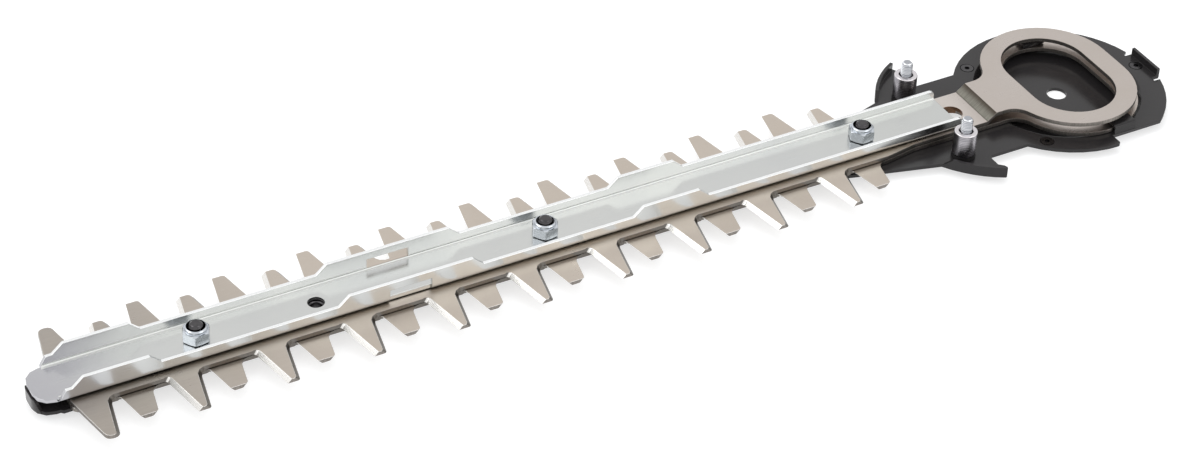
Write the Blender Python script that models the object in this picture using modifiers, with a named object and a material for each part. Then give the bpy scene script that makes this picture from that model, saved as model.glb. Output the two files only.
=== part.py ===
"""Blade assembly of a double-sided hedge trimmer, lying flat with its mounting side up.

The bar runs along X, from the round nose at -X to the drive end at +X. +Y is the far side.
The origin is under the middle of the whole part, at the height that it rests on.
All lengths are in metres.
"""

from math import atan, atan2, ceil, cos, hypot, pi, radians, sin, sqrt, tan

import bmesh
import bpy
from mathutils import Vector

# Running gap between pieces that touch
GAP = 0.0003
# Cutters run past what they cut by this much
OVERRUN = 0.002

# Points this close are one point
WELD_DISTANCE = 0.000001

# Shear blades
BLADE_SHEET = 0.0018
TEETH = 10
TOOTH_PITCH = 0.036
NOSE_TO_FIRST_TOOTH = 0.0223
LONG_TIP_INSIDE_YOKE = 0.0013
LONG_TIP_WIDTH = 0.0052
SHORT_TIP_Y = 0.0283
SHORT_TIP_WIDTH = 0.0072
LONG_TIP_SETBACK = 0.0047
SHORT_TIP_ADVANCE = 0.0122
FLANK_SLOPE = 0.2
ROOT_Y = 0.0145
LEFT_ROOT_RADIUS = 0.0012
RIGHT_ROOT_RADIUS = 0.004
TIP_RADIUS = 0.0013
FIRST_TIP_RADIUS = 0.0026
TOOTH_BEVEL = 0.0016
BLADE_FRONT_GAP = 0.0125
BLADE_FRONT_RADIUS = 0.003
LOWER_TEETH_SHIFT = 0.001
STROKE = 0.009

# Neck and yoke of each blade
TEETH_TO_DRIVE = 0.0872
TAPER_SETBACK = 0.010
TAPER_LENGTH = 0.015
NECK_HALF_WIDTH = 0.01215
NECK_FILLET = 0.009
NECK_HOLE_RADIUS = 0.00475
NECK_HOLE_TO_YOKE = 0.0552
YOKE_OUTER_RADIUS = 0.0295
YOKE_OUTER_STRAIGHT = 0.0077
YOKE_SLOT_RADIUS = 0.0193
YOKE_SLOT_STRAIGHT = 0.0096
YOKE_PHASE = 0.0007
JOGGLE_RISE = 0.0034
JOGGLE_TO_YOKE = 0.0449
JOGGLE_LENGTH = 0.0044

# Guide bar
GUIDE_SHEET = 0.0015
GUIDE_HALF_WIDTH = 0.0116
GUIDE_BEND_RADIUS = 0.0024
GUIDE_NOSE_SETBACK = 0.0006
GUIDE_NOSE_HALF_WIDTH = 0.010
GUIDE_NOSE_RADIUS = 0.007
GUIDE_LIP_START = 0.0087
GUIDE_LIP_SLOPE = 0.0025
GUIDE_TO_DRIVE = 0.0585
LIP_HEIGHT = 0.0040
LIP_RAISE = 0.0041
LIP_END_RADIUS = 0.0020
RAISED_STRETCHES = ((0.0183, 0.0262), (0.1268, 0.0530), (0.2566, 0.0257))
RAISE_RAMP = 0.0046
WINDOW_START = 0.1438
WINDOW_LENGTH = 0.018
WINDOW_INSET = 0.0016
WINDOW_HEIGHT = 0.0046

# Bolts through the bar
NOSE_TO_FIRST_BOLT = 0.0676
LAST_BOLT_SETBACK = 0.0147
BOLT_RADIUS = 0.003
BOLT_CHAMFER = 0.0009
BOLT_HEAD_RADIUS = 0.0052
BOLT_SOCKET_RADIUS = 0.0023
BOLT_SOCKET_DEPTH = 0.0013
BOLT_END_ABOVE_NUT = 0.0014
BUSH_RADIUS = 0.0043
NUT_ACROSS_FLATS = 0.010
NUT_HEIGHT = 0.006
NUT_HEX_HEIGHT = 0.0042
NUT_COLLAR_RADIUS = 0.0045
NUT_CHAMFER = 0.0005
NUT_LIP_RADIUS = 0.0037
NUT_LIP_HEIGHT = 0.0004
INSERT_RADIUS = 0.0040
INSERT_HEIGHT = 0.0016
NUT_TURN = radians(36)

# Threaded insert for the tip guard's screw
NOSE_TO_GUARD_NUT = 0.1174
GUARD_HOLE_RADIUS = 0.0034
GUARD_THREAD_RADIUS = 0.0025

# Base plate
BASE_SHEET = 0.0015
STRIP_HALF_WIDTH = 0.0105
BASE_NOSE_HALF_WIDTH = 0.0096
BASE_NOSE_RADIUS = 0.0073
BASE_NOSE_LENGTH = 0.0090
NOSE_LIP_HEIGHT = 0.0040
FLANGE_MARGIN = 0.0082
NEAR_LOBE_STEP = 0.0018
EAR_START_TO_DRIVE = 0.1302
NEAR_EAR_START_TO_DRIVE = 0.0765
NEAR_EAR_START_Y = 0.0245
NEAR_EAR_TIP_TO_DRIVE = 0.0561
NEAR_EAR_TIP_Y = 0.0429
NEAR_EAR_BULGE = 0.0019
FAR_EAR_START_TO_DRIVE = 0.0778
FAR_EAR_START_Y = 0.0255
FAR_EAR_TIP_TO_DRIVE = 0.0578
FAR_EAR_TIP_Y = 0.0449
FAR_EAR_BULGE = 0.0022
EAR_TIP_RADIUS = 0.0006
HOOK_TO_TIP = 0.0036
HOOK_WIDTH = 0.0055
HOOK_NECK_SETBACK = 0.0027
HOOK_NECK_WIDTH = 0.0024
HOOK_RADIUS = 0.0012
EAR_INNER_SHARE = 0.628
EAR_FLANGE_HEIGHT = 0.0033
DISH_DEPTH = 0.0027
FLANGE_WIDTH = 0.0089
DISH_SLOPE_RUN = 0.003
DISH_HOLE_RADIUS = 0.00435
CHORD_START = 0.0010
SPUR_TIP_RADIUS = 0.0012
TONGUE_START = 0.0022
TONGUE_WIDTH = 0.0108
TONGUE_REACH = 0.0085
TONGUE_BEND_RADIUS = 0.0016
TAB_STEP = 0.0012
TAB_NEAR_Y = 0.0113
TAB_FAR_Y = 0.0076
TAB_HEIGHT = 0.0034
WALL_FOOT_SHARE = 0.2
WALL_OFFSET_SHARE = 0.94
NOTCH_DEPTH = 0.0026
NOTCH_WIDTH = 0.0024
LIGHT_HOLE_TO_DRIVE = 0.0512
LIGHT_HOLE_RADIUS = 0.007

# Sleeves and their screws
SLEEVE_TO_DRIVE = 0.0649
SLEEVE_Y = 0.023
SLEEVE_RADIUS = 0.005
SLEEVE_BORE_RADIUS = 0.0030
SLEEVE_HEIGHT = 0.01075
SLEEVE_CHAMFER = 0.0003
WASHER_RADIUS = 0.0052
WASHER_SHEET = 0.0015
SCREW_RADIUS = 0.0025
SCREW_ABOVE_SLEEVE = 0.00635
SCREW_CHAMFER = 0.0008
SCREW_HEAD_RADIUS = 0.0046
SCREW_SOCKET_RADIUS = 0.0020

# Screws sunk in the base plate
BASE_SCREW_INSET = 0.00495
BASE_SCREW_TURN = radians(48.5)
END_SCREW_INSET = 0.0036
END_SCREW_Y = 0.0006
BASE_SCREW_HEAD_RADIUS = 0.0028
BASE_SCREW_HEAD_HEIGHT = 0.0006
BASE_SCREW_RADIUS = 0.0015
BASE_SCREW_LENGTH = 0.0021
BASE_SCREW_SOCKET_RADIUS = 0.0012
BASE_SCREW_SOCKET_DEPTH = 0.0010

# Facets
SMALL_ARC_STEPS = 3
STEP_SLACK_SHARE = 0.001
LARGE_ARC_STEP = radians(7.5)
TURN_STEPS = 24
SMOOTH_ANGLE = radians(35)

# Places along Z, from the dish's underside up
base_bottom = DISH_DEPTH
base_top = base_bottom + BASE_SHEET
lower_bottom = base_top + GAP
lower_top = lower_bottom + BLADE_SHEET
upper_bottom = lower_top + GAP
upper_top = upper_bottom + BLADE_SHEET
guide_bottom = upper_top + GAP
guide_top = guide_bottom + GUIDE_SHEET
head_top = base_bottom - GAP

# Reaches from the drive axis outwards
yoke_reach = YOKE_OUTER_RADIUS + YOKE_OUTER_STRAIGHT
long_tip_y = yoke_reach - LONG_TIP_INSIDE_YOKE
flange_radius = yoke_reach + FLANGE_MARGIN
near_lobe_radius = flange_radius + NEAR_LOBE_STEP
tab_reach = flange_radius + TAB_STEP
dish_rim_radius = flange_radius - FLANGE_WIDTH
dish_floor_radius = dish_rim_radius - DISH_SLOPE_RUN
ear_inner_y = flange_radius * EAR_INNER_SHARE

# Places along X, from the nose to the drive axis
nose_to_drive = NOSE_TO_FIRST_TOOTH + TEETH * TOOTH_PITCH + TEETH_TO_DRIVE
nose_x = -(nose_to_drive + tab_reach) / 2
drive_x = nose_x + nose_to_drive
tooth_x = nose_x + NOSE_TO_FIRST_TOOTH
teeth_end_x = tooth_x + TEETH * TOOTH_PITCH
first_bolt_x = nose_x + NOSE_TO_FIRST_BOLT
last_bolt_x = teeth_end_x - LAST_BOLT_SETBACK
bolt_places = (first_bolt_x, (first_bolt_x + last_bolt_x) / 2, last_bolt_x)
guard_x = nose_x + NOSE_TO_GUARD_NUT
guide_end_x = drive_x - GUIDE_TO_DRIVE
sleeve_x = drive_x - SLEEVE_TO_DRIVE


def clear_scene():
    """Remove whatever the scene holds."""
    for thing in list(bpy.data.objects):
        bpy.data.objects.remove(thing, do_unlink=True)


def new_collection(name):
    """Add a collection to the scene."""
    group = bpy.data.collections.new(name)
    bpy.context.scene.collection.children.link(group)
    return group


def new_material(name, color, roughness, metallic):
    """Make a plain material."""
    made = bpy.data.materials.new(name)
    made.use_nodes = True
    shader = made.node_tree.nodes["Principled BSDF"]
    shader.inputs["Base Color"].default_value = (*color, 1)
    shader.inputs["Roughness"].default_value = roughness
    shader.inputs["Metallic"].default_value = metallic
    return made


def arc(centre, radius, start, end, step=LARGE_ARC_STEP):
    """Points along a round stretch, both ends included."""
    count = max(1, ceil(abs(end - start) / step - STEP_SLACK_SHARE))
    turns = [start + (end - start) * index / count for index in range(count + 1)]
    return [(centre[0] + radius * cos(turn), centre[1] + radius * sin(turn)) for turn in turns]


def fillet(before, corner, after, radius, steps=SMALL_ARC_STEPS):
    """Round a corner. Each point comes with the direction from the round's centre."""
    corner = Vector(corner)
    back = (Vector(before) - corner).normalized()
    ahead = (Vector(after) - corner).normalized()
    half = back.angle(ahead) / 2
    centre = corner + (back + ahead).normalized() * (radius / sin(half))
    start = corner + back * (radius / tan(half)) - centre
    end = corner + ahead * (radius / tan(half)) - centre
    points = []
    for index in range(steps + 1):
        share = index / steps
        away = start.slerp(end, share).normalized()
        points.append((centre + away * radius, away))
    return points


def rounded(corners):
    """An outline from corners (x, y, radius)."""
    outline = []
    for index, (x, y, radius) in enumerate(corners):
        before = corners[index - 1][:2]
        after = corners[(index + 1) % len(corners)][:2]
        if radius:
            outline += [tuple(point) for point, away in fillet(before, (x, y), after, radius)]
        else:
            outline.append((x, y))
    return outline


def mesh_object(name, mesh, group, look=None):
    """Put a mesh in the scene."""
    made = bpy.data.objects.new(name, mesh)
    group.objects.link(made)
    if look:
        mesh.materials.append(look)
    return made


def flat_piece(name, outline, bottom, top, group, look=None):
    """A flat outline with straight sides."""
    curve = bpy.data.curves.new(name, "CURVE")
    curve.dimensions = "2D"
    curve.fill_mode = "BOTH"
    curve.extrude = (top - bottom) / 2
    line = curve.splines.new("POLY")
    line.points.add(len(outline) - 1)
    line.use_cyclic_u = True
    for point, place in zip(line.points, outline):
        point.co = (place[0], place[1], 0, 1)
    drawn = bpy.data.objects.new(name, curve)
    drawn.location.z = (top + bottom) / 2
    group.objects.link(drawn)
    bpy.context.view_layer.update()
    evaluated = drawn.evaluated_get(bpy.context.evaluated_depsgraph_get())
    mesh = bpy.data.meshes.new_from_object(evaluated)
    weld(mesh)
    made = mesh_object(name, mesh, group, look)
    made.matrix_world = drawn.matrix_world
    bpy.data.objects.remove(drawn, do_unlink=True)
    made.name = name
    return made


def weld(mesh):
    """Join the loose caps of a mesh that was a curve."""
    work = bmesh.new()
    work.from_mesh(mesh)
    bmesh.ops.remove_doubles(work, verts=work.verts, dist=WELD_DISTANCE)
    bmesh.ops.recalc_face_normals(work, faces=work.faces)
    work.to_mesh(mesh)
    work.free()


def turned_piece(name, profile, place, group, look=None, steps=TURN_STEPS):
    """Turn a profile (radius, z) about a vertical axis; it runs down its outer side."""
    mesh = bpy.data.meshes.new(name)
    work = bmesh.new()
    line = [work.verts.new((radius, 0, z)) for radius, z in profile]
    for start, end in zip(line, line[1:]):
        work.edges.new((start, end))
    if profile[0][0] > 0:
        work.edges.new((line[-1], line[0]))
    work.to_mesh(mesh)
    work.free()
    made = mesh_object(name, mesh, group, look)
    made.location = (place[0], place[1], 0)
    screw = made.modifiers.new("turn", "SCREW")
    screw.steps = steps
    screw.render_steps = steps
    screw.use_merge_vertices = True
    screw.merge_threshold = WELD_DISTANCE
    screw.use_smooth_shade = False
    return made


def round_cutter(name, places, radius, bottom, top, group, sides=TURN_STEPS):
    """Upright cylinders, or prisms with few sides, at the places given."""
    mesh = bpy.data.meshes.new(name)
    work = bmesh.new()
    for place in places:
        made = bmesh.ops.create_cone(
            work, cap_ends=True, segments=sides, radius1=radius, radius2=radius, depth=top - bottom)
        bmesh.ops.translate(work, verts=made["verts"], vec=(*place, (top + bottom) / 2))
    work.to_mesh(mesh)
    work.free()
    return mesh_object(name, mesh, group)


def box(name, low, high, group):
    """A box between two corners."""
    mesh = bpy.data.meshes.new(name)
    work = bmesh.new()
    bmesh.ops.create_cube(work, size=1)
    bmesh.ops.scale(work, verts=work.verts, vec=[end - start for start, end in zip(low, high)])
    bmesh.ops.translate(work, verts=work.verts, vec=[(start + end) / 2 for start, end in zip(low, high)])
    work.to_mesh(mesh)
    work.free()
    return mesh_object(name, mesh, group)


def combine(piece, other, operation):
    """Cut, join or keep the common part, with a helper that isn't itself built."""
    other.hide_render = True
    other.display_type = "WIRE"
    step = piece.modifiers.new(other.name, "BOOLEAN")
    step.operation = operation
    step.object = other
    step.solver = "EXACT"


def combine_all(piece, others, operation, helpers):
    """Cut or join several helpers in one go, then weld what ends up in the same place."""
    batch = bpy.data.collections.new(f"{piece.name}_{operation.lower()}")
    helpers.children.link(batch)
    for other in others:
        other.hide_render = True
        other.display_type = "WIRE"
        helpers.objects.unlink(other)
        batch.objects.link(other)
    step = piece.modifiers.new(batch.name, "BOOLEAN")
    step.operation = operation
    step.operand_type = "COLLECTION"
    step.collection = batch
    step.solver = "EXACT"
    clean = piece.modifiers.new("weld", "WELD")
    clean.merge_threshold = WELD_DISTANCE


def stadium(centre, radius, straight, along_x=False):
    """An outline with two round ends, with half of its straight stretch given."""
    shift = (straight, 0) if along_x else (0, straight)
    start = -pi / 2 if along_x else 0
    first = arc((centre[0] + shift[0], centre[1] + shift[1]), radius, start, start + pi)
    second = arc((centre[0] - shift[0], centre[1] - shift[1]), radius, start + pi, start + 2 * pi)
    return first + second


def tooth(left_x, tip_y, tip_width, tip_radius, left_bevel):
    """One tooth on the -Y side, from its left root to its right root.

    Each point of the cutting face comes with the inset that its bevel takes to the other face.
    """
    reach = (tip_y - ROOT_Y) * FLANK_SLOPE
    right_x = left_x + tip_width
    left_root = (left_x - reach, -ROOT_Y)
    right_root = (right_x + reach, -ROOT_Y)
    left_tip = (left_x, -tip_y)
    right_tip = (right_x, -tip_y)
    side_inset = TOOTH_BEVEL / cos(atan(FLANK_SLOPE))
    steps = SMALL_ARC_STEPS
    points = []
    if left_bevel:
        before_root = (left_root[0] - tip_width, -ROOT_Y)
        root = fillet(before_root, left_root, left_tip, LEFT_ROOT_RADIUS)
        for index, (point, away) in enumerate(root):
            points.append((point, away * (TOOTH_BEVEL * index / steps)))
        points.append((Vector(left_tip), Vector((side_inset, 0))))
    else:
        tip_points = fillet(left_root, left_tip, right_tip, tip_radius)
        points += [(point, Vector((0, 0))) for point, away in tip_points]
    for index, (point, away) in enumerate(fillet(left_tip, right_tip, right_root, tip_radius)):
        share = 1 if left_bevel else index / steps
        points.append((point, Vector((-side_inset * share, 0))))
    after_root = (right_root[0] + tip_width, -ROOT_Y)
    for index, (point, away) in enumerate(fillet(right_tip, right_root, after_root, RIGHT_ROOT_RADIUS)):
        points.append((point, away * (TOOTH_BEVEL * (1 - index / steps))))
    return points


def toothed_side(first_left_x, tip_y, tip_width, first_bevel):
    """All the teeth of one side."""
    points = []
    for index in range(TEETH):
        bevelled = first_bevel or index > 0
        radius = TIP_RADIUS if bevelled else FIRST_TIP_RADIUS
        points += tooth(first_left_x + index * TOOTH_PITCH, tip_y, tip_width, radius, bevelled)
    return points


def yoke_outline(yoke_x):
    """The neck's end and the yoke, from the neck's -Y edge round to its +Y edge."""
    drop = NECK_HALF_WIDTH + NECK_FILLET - YOKE_OUTER_STRAIGHT
    span = YOKE_OUTER_RADIUS + NECK_FILLET
    run = sqrt(span ** 2 - drop ** 2)
    turn = atan2(-drop, -run)
    neck_centre = (yoke_x - run, -NECK_HALF_WIDTH - NECK_FILLET)
    half = arc(neck_centre, NECK_FILLET, pi / 2, turn + pi)
    half += arc((yoke_x, -YOKE_OUTER_STRAIGHT), YOKE_OUTER_RADIUS, turn, 0)[1:]
    return half + [(x, -y) for x, y in reversed(half)]


def blade_outline(shift, yoke_x):
    """The blade's cutting face, with the insets of its bevels."""
    flat = Vector((0, 0))
    front_x = nose_x + BLADE_FRONT_GAP
    long_left = tooth_x - LONG_TIP_SETBACK + shift
    short_left = tooth_x + SHORT_TIP_ADVANCE + shift
    near = toothed_side(long_left, long_tip_y, LONG_TIP_WIDTH, False)
    far = toothed_side(short_left, SHORT_TIP_Y, SHORT_TIP_WIDTH, True)
    flank_y = long_tip_y - (long_left - front_x) / FLANK_SLOPE
    taper_start = (teeth_end_x - TAPER_SETBACK, -ROOT_Y)
    taper_end = (taper_start[0] + TAPER_LENGTH, -NECK_HALF_WIDTH)
    neck = [taper_start, taper_end, *yoke_outline(yoke_x)]
    neck += [(taper_end[0], -taper_end[1]), (taper_start[0], -taper_start[1])]
    corner = fillet((tooth_x, ROOT_Y), (front_x, ROOT_Y), (front_x, 0), BLADE_FRONT_RADIUS)
    points = [(Vector((front_x, -flank_y)), flat)]
    points += near
    points += [(Vector(point), flat) for point in neck]
    points += [(Vector((x, -y)), Vector((inset_x, -inset_y))) for (x, y), (inset_x, inset_y) in reversed(far)]
    points += [(point, flat) for point, away in corner]
    return points


def loft(name, points, group, look):
    """A sheet whose upper outline is drawn in by each point's inset."""
    mesh = bpy.data.meshes.new(name)
    work = bmesh.new()
    lower = [work.verts.new((*point, 0)) for point, inset in points]
    upper = [work.verts.new((*(point + inset), BLADE_SHEET)) for point, inset in points]
    work.faces.new(list(reversed(lower)))
    work.faces.new(upper)
    for index in range(len(points)):
        ahead = (index + 1) % len(points)
        work.faces.new((lower[index], lower[ahead], upper[ahead], upper[index]))
    work.to_mesh(mesh)
    work.free()
    return mesh_object(name, mesh, group, look)


def joggle(piece, yoke_x):
    """Bend the punched blade's neck up to the raised yoke."""
    low_x = yoke_x - JOGGLE_TO_YOKE
    high_x = low_x + JOGGLE_LENGTH
    bpy.context.view_layer.update()
    evaluated = piece.evaluated_get(bpy.context.evaluated_depsgraph_get())
    piece.data = bpy.data.meshes.new_from_object(evaluated)
    piece.modifiers.clear()
    work = bmesh.new()
    work.from_mesh(piece.data)
    for bend_x in (low_x, high_x):
        geometry = work.verts[:] + work.edges[:] + work.faces[:]
        bmesh.ops.bisect_plane(work, geom=geometry, plane_co=(bend_x, 0, 0), plane_no=(1, 0, 0))
    for vert in work.verts:
        share = min(max((vert.co.x - low_x) / JOGGLE_LENGTH, 0), 1)
        vert.co.z += JOGGLE_RISE * share
    work.to_mesh(piece.data)
    work.free()


def slot_cutters(helpers):
    """The slots that the bushes run in, through both blades."""
    half_width = BUSH_RADIUS + GAP
    cutters = []
    for index, place in enumerate((*bolt_places, guard_x)):
        outline = stadium((place, 0), half_width, STROKE, along_x=True)
        cutters.append(flat_piece(f"slot_cutter_{index + 1}", outline, base_top, guide_bottom, helpers))
    return cutters


def blade(name, yoke_x, shift, slots, group, helpers, look):
    """A shear blade with its slots, neck hole and yoke slot; its cutting face is at its own Z = 0."""
    piece = loft(name, blade_outline(shift, yoke_x), group, look)
    for slot in slots:
        combine(piece, slot, "DIFFERENCE")
    top = guide_top + JOGGLE_RISE + OVERRUN
    hole_x = yoke_x - NECK_HOLE_TO_YOKE
    hole = round_cutter(f"{name}_neck_cutter", [(hole_x, 0)], NECK_HOLE_RADIUS, base_top, top, helpers)
    combine(piece, hole, "DIFFERENCE")
    outline = stadium((yoke_x, 0), YOKE_SLOT_RADIUS, YOKE_SLOT_STRAIGHT)
    combine(piece, flat_piece(f"{name}_yoke_cutter", outline, base_top, top, helpers), "DIFFERENCE")
    return piece


def build_blades(group, helpers, look):
    """The upper blade, and the lower blade, which is the same pressing turned over."""
    slots = slot_cutters(helpers)
    upper_yoke = drive_x - YOKE_PHASE
    upper = blade("upper_blade", upper_yoke, 0, slots, group, helpers, look)
    upper.location.z = upper_bottom
    joggle(upper, upper_yoke)
    lower = blade("lower_blade", drive_x + YOKE_PHASE, -LOWER_TEETH_SHIFT, slots, group, helpers, look)
    lower.rotation_euler.x = pi
    lower.location.z = lower_top


def guide_section():
    """Half of the channel's section (y, z), mirrored to the whole one."""
    inner_radius = GUIDE_BEND_RADIUS - GUIDE_SHEET
    bend_y = GUIDE_HALF_WIDTH - GUIDE_BEND_RADIUS
    bend_z = guide_bottom + GUIDE_BEND_RADIUS
    top = guide_top + LIP_HEIGHT + LIP_RAISE
    step = pi / 2 / SMALL_ARC_STEPS
    outer = arc((bend_y, bend_z), GUIDE_BEND_RADIUS, -pi / 2, 0, step)
    inner = arc((bend_y, bend_z), inner_radius, 0, -pi / 2, step)
    half = [*outer, (GUIDE_HALF_WIDTH, top), (GUIDE_HALF_WIDTH - GUIDE_SHEET, top), *inner]
    return half + [(-y, z) for y, z in reversed(half)]


def lip_line():
    """The void above the lips (x, z), between and beside the raised stretches."""
    low = guide_top + LIP_HEIGHT
    high = low + LIP_RAISE
    above = high + OVERRUN
    start_x = nose_x + GUIDE_LIP_START
    line = [(start_x - OVERRUN, above), (start_x - OVERRUN, guide_top), (start_x, guide_top)]
    line.append((start_x + GUIDE_LIP_SLOPE, low))
    for start, length in RAISED_STRETCHES:
        raised_x = nose_x + start
        line += [(raised_x - RAISE_RAMP, low), (raised_x, high)]
        line += [(raised_x, above), (raised_x + length, above)]
        line += [(raised_x + length, high), (raised_x + length + RAISE_RAMP, low)]
    centre = (guide_end_x - LIP_END_RADIUS, low - LIP_END_RADIUS)
    line += arc(centre, LIP_END_RADIUS, pi / 2, 0, pi / 2 / SMALL_ARC_STEPS)
    return line + [(guide_end_x + OVERRUN, low - LIP_END_RADIUS), (guide_end_x + OVERRUN, above)]


def extruded_along(name, outline, start, end, axis, helpers):
    """A flat outline stood up and drawn along X (outline y, z) or Y (outline x, z)."""
    piece = flat_piece(name, outline, start, end, helpers)
    middle = (start + end) / 2
    if axis == "X":
        piece.rotation_euler = (pi / 2, 0, pi / 2)
        piece.location = (middle, 0, 0)
    else:
        piece.rotation_euler = (pi / 2, 0, 0)
        piece.location = (0, -middle, 0)
    return piece


def build_guide_bar(group, helpers, look):
    """The channel with its lips, windows, nose and holes."""
    piece = extruded_along("guide_bar", guide_section(), nose_x + GUIDE_LIP_START, guide_end_x, "X", group)
    piece.data.materials.append(look)
    reach = GUIDE_HALF_WIDTH + OVERRUN
    combine(piece, extruded_along("lip_cutter", lip_line(), -reach, reach, "Y", helpers), "DIFFERENCE")
    tongue_end = nose_x + GUIDE_LIP_START + GUIDE_BEND_RADIUS
    nose_end = nose_x + GUIDE_NOSE_SETBACK
    corners = ((nose_end, -GUIDE_NOSE_HALF_WIDTH, GUIDE_NOSE_RADIUS), (tongue_end, -GUIDE_NOSE_HALF_WIDTH, 0),
               (tongue_end, GUIDE_NOSE_HALF_WIDTH, 0), (nose_end, GUIDE_NOSE_HALF_WIDTH, GUIDE_NOSE_RADIUS))
    nose = flat_piece("guide_nose", rounded(corners), guide_bottom, guide_top, helpers)
    combine(piece, nose, "UNION")
    window_x = nose_x + WINDOW_START
    for side in (-1, 1):
        edges = sorted((side * (GUIDE_HALF_WIDTH - WINDOW_INSET), side * reach))
        low = (window_x, edges[0], guide_bottom - OVERRUN)
        high = (window_x + WINDOW_LENGTH, edges[1], guide_top + WINDOW_HEIGHT)
        combine(piece, box("window_cutter", low, high, helpers), "DIFFERENCE")
    places = [(place, 0) for place in bolt_places]
    span = (guide_bottom - OVERRUN, guide_top + OVERRUN)
    combine(piece, round_cutter("bolt_hole_cutter", places, BOLT_RADIUS + GAP, *span, helpers), "DIFFERENCE")
    guard = round_cutter("guard_hole_cutter", [(guard_x, 0)], GUARD_HOLE_RADIUS, *span, helpers)
    combine(piece, guard, "DIFFERENCE")


def bolt_profile(radius, end_z, chamfer, head_radius):
    """A plain bolt, from its end down to the underside of its head."""
    edge = chamfer / 2
    return ((0, end_z), (radius - chamfer, end_z), (radius, end_z - chamfer), (radius, head_top),
            (head_radius - edge, head_top), (head_radius, head_top - edge), (head_radius, 0), (0, 0))


def ring_profile(inner, outer, bottom, top, chamfer=0):
    """A ring's section."""
    if not chamfer:
        return ((outer, top), (outer, bottom), (inner, bottom), (inner, top))
    return ((outer - chamfer, top), (outer, top - chamfer), (outer, bottom), (inner, bottom),
            (inner, top - chamfer), (inner + chamfer, top))


def build_bolts(group, helpers, looks):
    """Bolts, bushes, lock nuts and their nylon rings."""
    nut_bottom = guide_top + GAP
    nut_top = nut_bottom + NUT_HEIGHT
    end_z = nut_top + BOLT_END_ABOVE_NUT
    profile = bolt_profile(BOLT_RADIUS, end_z, BOLT_CHAMFER, BOLT_HEAD_RADIUS)
    bush = ring_profile(BOLT_RADIUS + GAP, BUSH_RADIUS, base_top + GAP, upper_top)
    for index, x in enumerate(bolt_places):
        number = index + 1
        bolt = turned_piece(f"bar_bolt_{number}", profile, (x, 0), group, looks["black_steel"])
        socket = round_cutter(f"bolt_socket_{number}", [(x, 0)], BOLT_SOCKET_RADIUS, -OVERRUN,
                              BOLT_SOCKET_DEPTH, helpers, sides=6)
        combine(bolt, socket, "DIFFERENCE")
        turned_piece(f"slot_bush_{number}", bush, (x, 0), group, looks["bush_steel"])
        build_nut(number, x, nut_bottom, nut_top, group, helpers, looks)


def build_nut(number, x, bottom, top, group, helpers, looks):
    """A lock nut: hexagon, collar and the nylon ring under the collar's lip."""
    flats = NUT_ACROSS_FLATS / 2
    corner = flats / cos(pi / 6)
    hex_top = bottom + NUT_HEX_HEIGHT
    bore = BOLT_RADIUS + GAP
    seat = INSERT_RADIUS + GAP
    insert_top = top - NUT_LIP_HEIGHT - GAP
    insert_bottom = insert_top - INSERT_HEIGHT
    nut = mesh_object(f"lock_nut_{number}", hexagon_mesh(corner, bottom, top), group, looks["zinc"])
    nut.location = (x, 0, 0)
    nut.rotation_euler.z = NUT_TURN
    shoulder = hex_top + NUT_CHAMFER
    round_over = ((NUT_COLLAR_RADIUS - NUT_CHAMFER, top), (NUT_COLLAR_RADIUS, top - NUT_CHAMFER),
                  (NUT_COLLAR_RADIUS, shoulder), (flats, shoulder), (corner, hex_top),
                  (corner, bottom + NUT_CHAMFER / 2), (flats, bottom),
                  (bore, bottom), (bore, insert_bottom - GAP), (seat, insert_bottom - GAP),
                  (seat, insert_top + GAP), (NUT_LIP_RADIUS, insert_top + GAP), (NUT_LIP_RADIUS, top))
    combine(nut, turned_piece(f"nut_turning_{number}", round_over, (x, 0), helpers), "INTERSECT")
    ring = ring_profile(bore, INSERT_RADIUS, insert_bottom, insert_top)
    turned_piece(f"nut_insert_{number}", ring, (x, 0), group, looks["nylon"])


def hexagon_mesh(corner, bottom, top):
    """A hexagonal prism."""
    mesh = bpy.data.meshes.new("hexagon")
    work = bmesh.new()
    bmesh.ops.create_cone(work, cap_ends=True, segments=6, radius1=corner, radius2=corner,
                          depth=top - bottom + OVERRUN)
    bmesh.ops.translate(work, verts=work.verts, vec=(0, 0, (top + bottom) / 2))
    work.to_mesh(mesh)
    work.free()
    return mesh


def build_guard_nut(group, looks):
    """The threaded insert under the guide bar's open hole."""
    profile = ring_profile(GUARD_THREAD_RADIUS, BUSH_RADIUS, base_top + GAP, upper_top, SLEEVE_CHAMFER)
    turned_piece("guard_nut", profile, (guard_x, 0), group, looks["black_steel"])


def build_sleeves(group, helpers, looks):
    """The spacer sleeves on the ears, with their washers and screws."""
    washer_bottom = base_top + GAP
    sleeve_bottom = washer_bottom + WASHER_SHEET + GAP
    sleeve_top = sleeve_bottom + SLEEVE_HEIGHT
    bore = SCREW_RADIUS + GAP
    sleeve = ring_profile(SLEEVE_BORE_RADIUS, SLEEVE_RADIUS, sleeve_bottom, sleeve_top, SLEEVE_CHAMFER)
    washer = ring_profile(bore, WASHER_RADIUS, washer_bottom, washer_bottom + WASHER_SHEET)
    screw = bolt_profile(SCREW_RADIUS, sleeve_top + SCREW_ABOVE_SLEEVE, SCREW_CHAMFER, SCREW_HEAD_RADIUS)
    for name, y in (("near", -SLEEVE_Y), ("far", SLEEVE_Y)):
        place = (sleeve_x, y)
        turned_piece(f"{name}_sleeve", sleeve, place, group, looks["turned_steel"])
        turned_piece(f"{name}_sleeve_washer", washer, place, group, looks["black_steel"])
        made = turned_piece(f"{name}_sleeve_screw", screw, place, group, looks["zinc"])
        socket = round_cutter(f"{name}_screw_socket", [place], SCREW_SOCKET_RADIUS, -OVERRUN,
                              BOLT_SOCKET_DEPTH, helpers, sides=6)
        combine(made, socket, "DIFFERENCE")


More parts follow.
